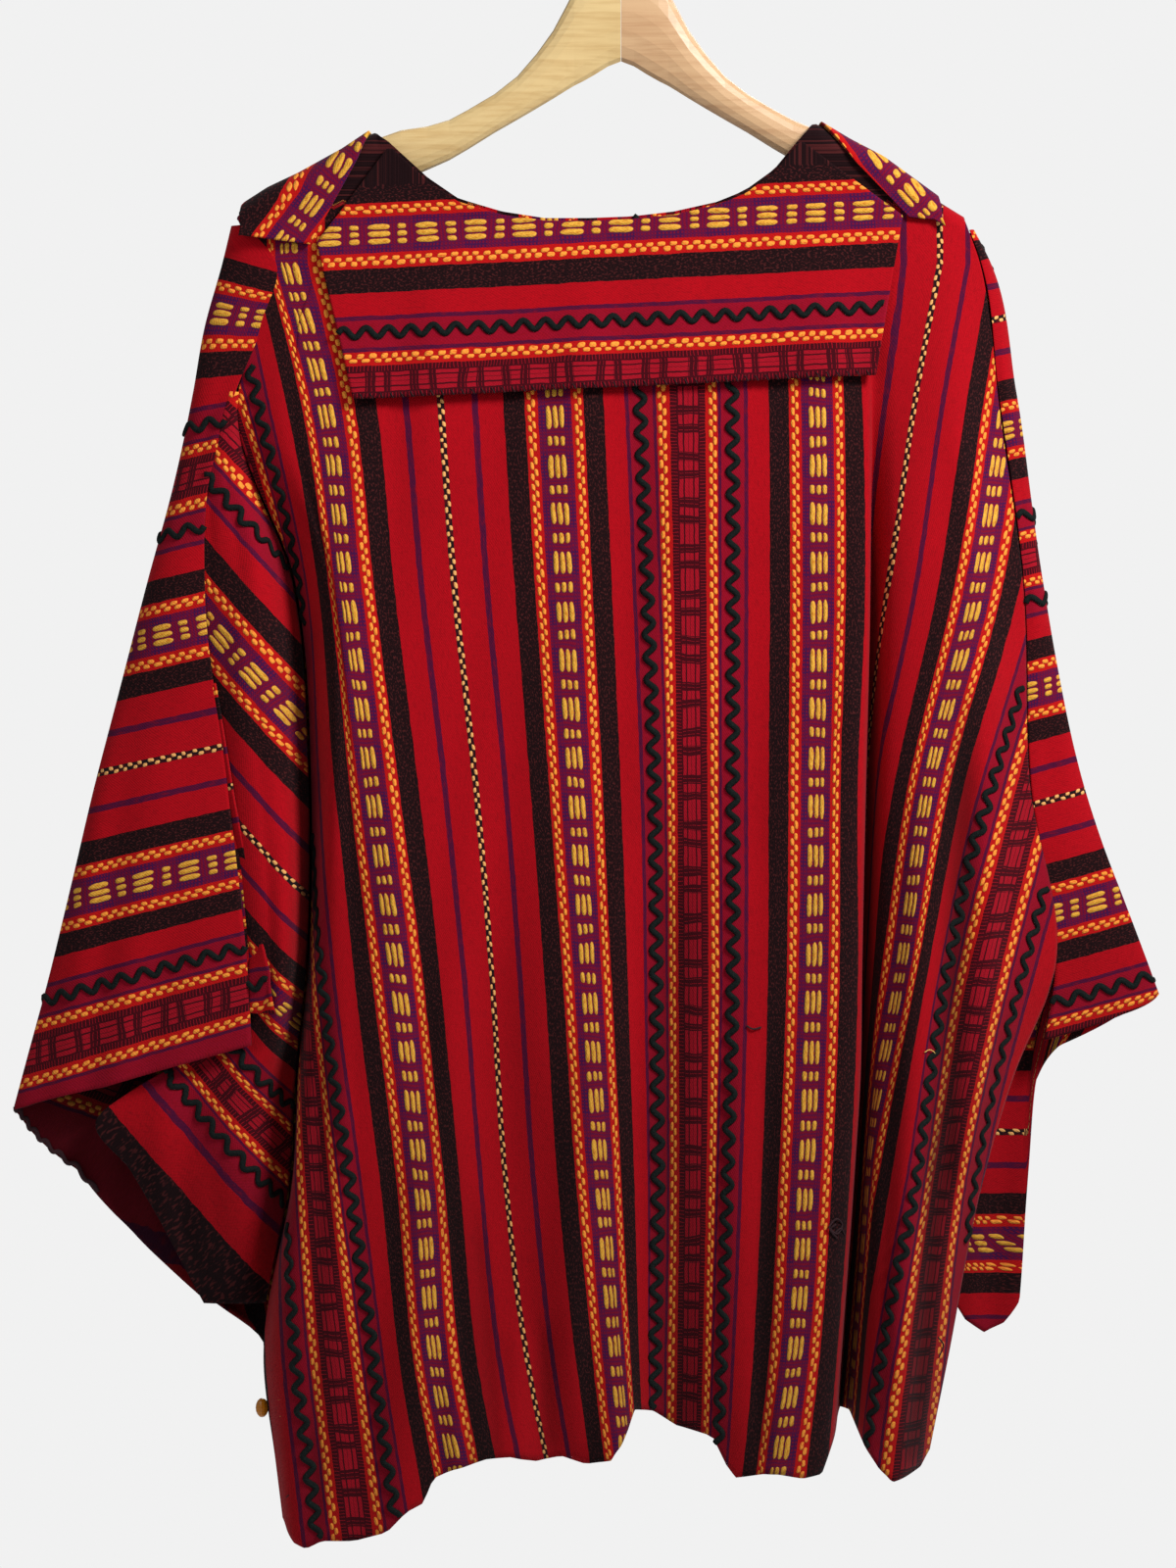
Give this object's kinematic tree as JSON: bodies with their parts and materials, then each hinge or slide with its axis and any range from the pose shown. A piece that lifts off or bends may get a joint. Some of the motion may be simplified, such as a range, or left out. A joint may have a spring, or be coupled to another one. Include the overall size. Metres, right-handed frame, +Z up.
{
  "type": "wool poncho on a wooden hanger",
  "caption": "Striped handwoven wool poncho with wide open sleeves and a square collar flap, hanging in soft folds on a plain wooden hanger with a steel hook.",
  "frame": {"origin": "where the hanger's hook rests on its rail: the inside top of the hook's bend", "axes": "+Z up, the back of the garment faces -Y and its front +Y, and its left side seen from the back lies at -X"},
  "size_m": [0.7074, 0.112, 1.0497],
  "materials": {
    "red_cloth": "matte woven wool with lengthwise stripes",
    "dark_cloth": "matte woven wool with stripes, in shade",
    "crimson_cloth": "matte woven wool with zigzags and chains",
    "pale_wood": "smooth, clear lacquer",
    "pink_wood": "smooth, clear lacquer",
    "steel": "bright plated wire",
    "amber": "glossy"
  },
  "bodies": {
    "root": {"back": "red_cloth", "back_wing_left": "dark_cloth", "front": "red_cloth", "sleeve_left": "red_cloth", "sleeve_left_tuck": "crimson_cloth", "sleeve_right": "red_cloth", "collar_flap": "crimson_cloth", "collar_left": "crimson_cloth", "collar_right": "crimson_cloth", "hanger_arm_left": "pale_wood", "hanger_arm_right": "pink_wood", "hanger_hook": "steel", "side_bead": "amber"}
  },
  "joints": []
}
